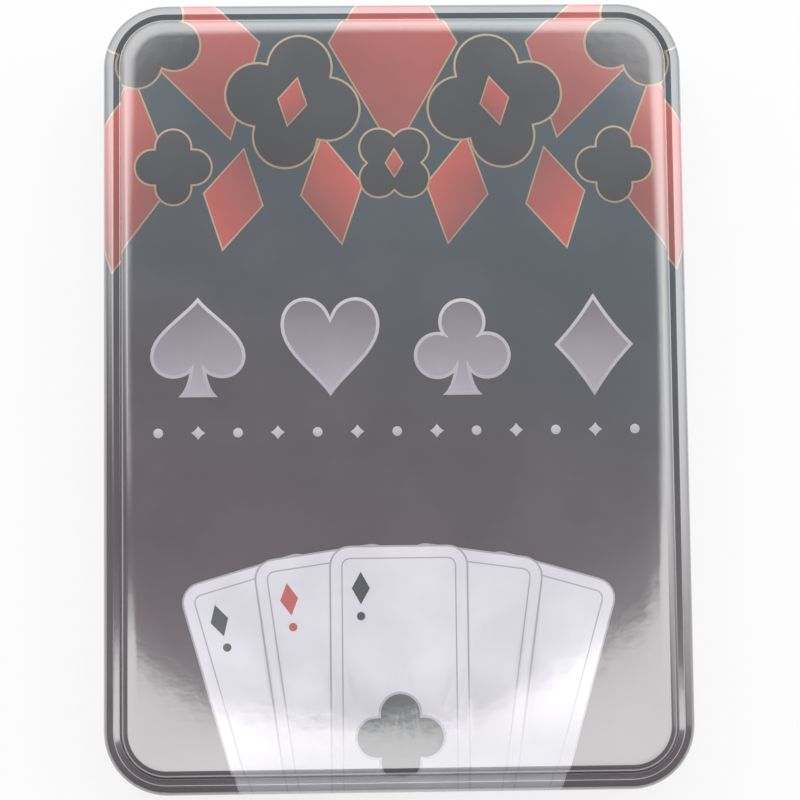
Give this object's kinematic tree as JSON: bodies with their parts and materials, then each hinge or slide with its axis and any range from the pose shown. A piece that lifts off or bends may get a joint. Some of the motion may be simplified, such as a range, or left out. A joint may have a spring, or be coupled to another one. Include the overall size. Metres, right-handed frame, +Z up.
{
  "type": "playing card tin",
  "caption": "Flat tinplate playing card case with rounded corners, a stepped lift-off lid, a black insert tray with a finger pocket, and decks of cards lying in its wells.",
  "frame": {"origin": "middle of the foot plane on which the tin stands", "axes": "+X along the short side, to the right of the lid's print; +Y along the long side, towards the top of the print; +Z up through the lid"},
  "size_m": [0.098, 0.1326, 0.0208],
  "materials": {
    "lid_print": "varnished print",
    "base_lacquer": "gloss lacquer",
    "tray_plastic": "matte",
    "red_card_stock": "coated card",
    "blue_card_stock": "coated card"
  },
  "bodies": {
    "tin_base": {"tin_base": "base_lacquer"},
    "insert_tray": {"insert_tray": "tray_plastic"},
    "red_deck_lower": {"red_deck_jokers": "red_card_stock", "red_deck_spade_numbers": "red_card_stock", "red_deck_spade_courts": "red_card_stock", "red_deck_diamond_numbers": "red_card_stock", "red_deck_diamond_courts": "red_card_stock"},
    "blue_deck_lower": {"blue_deck_jokers": "blue_card_stock", "blue_deck_spade_numbers": "blue_card_stock", "blue_deck_spade_courts": "blue_card_stock", "blue_deck_diamond_numbers": "blue_card_stock", "blue_deck_diamond_courts": "blue_card_stock"},
    "red_deck_upper": {"red_deck_club_courts": "red_card_stock", "red_deck_club_numbers": "red_card_stock", "red_deck_heart_courts": "red_card_stock", "red_deck_heart_numbers": "red_card_stock"},
    "blue_deck_upper": {"blue_deck_club_courts": "blue_card_stock", "blue_deck_club_numbers": "blue_card_stock", "blue_deck_heart_courts": "blue_card_stock", "blue_deck_heart_numbers": "blue_card_stock"},
    "red_top_card": {"red_deck_top_card": "red_card_stock"},
    "blue_top_card": {"blue_deck_top_card": "blue_card_stock"},
    "tin_lid": {"tin_lid": "lid_print"}
  },
  "joints": [
    {"name": "tray_lift", "type": "slide", "parent": "tin_base", "child": "insert_tray", "axis": [0, 0, 1], "range_m": [0, 0.045]},
    {"name": "red_deck_lift", "type": "slide", "parent": "insert_tray", "child": "red_deck_lower", "axis": [0, 0, 1], "range_m": [0, 0.04]},
    {"name": "blue_deck_lift", "type": "slide", "parent": "red_deck_lower", "child": "blue_deck_lower", "axis": [0, 0, 1], "range_m": [0, 0.04]},
    {"name": "red_deck_cut", "type": "slide", "parent": "blue_deck_lower", "child": "red_deck_upper", "axis": [0, 0, 1], "range_m": [0, 0.03]},
    {"name": "blue_deck_cut", "type": "slide", "parent": "red_deck_upper", "child": "blue_deck_upper", "axis": [0, 0, 1], "range_m": [0, 0.03]},
    {"name": "red_top_card_draw", "type": "slide", "parent": "blue_deck_upper", "child": "red_top_card", "axis": [0, 0, 1], "range_m": [0, 0.03]},
    {"name": "blue_top_card_draw", "type": "slide", "parent": "red_top_card", "child": "blue_top_card", "axis": [0, 0, 1], "range_m": [0, 0.03]},
    {"name": "lid_lift", "type": "slide", "parent": "blue_top_card", "child": "tin_lid", "axis": [0, 0, 1], "range_m": [0, 0.06]}
  ]
}
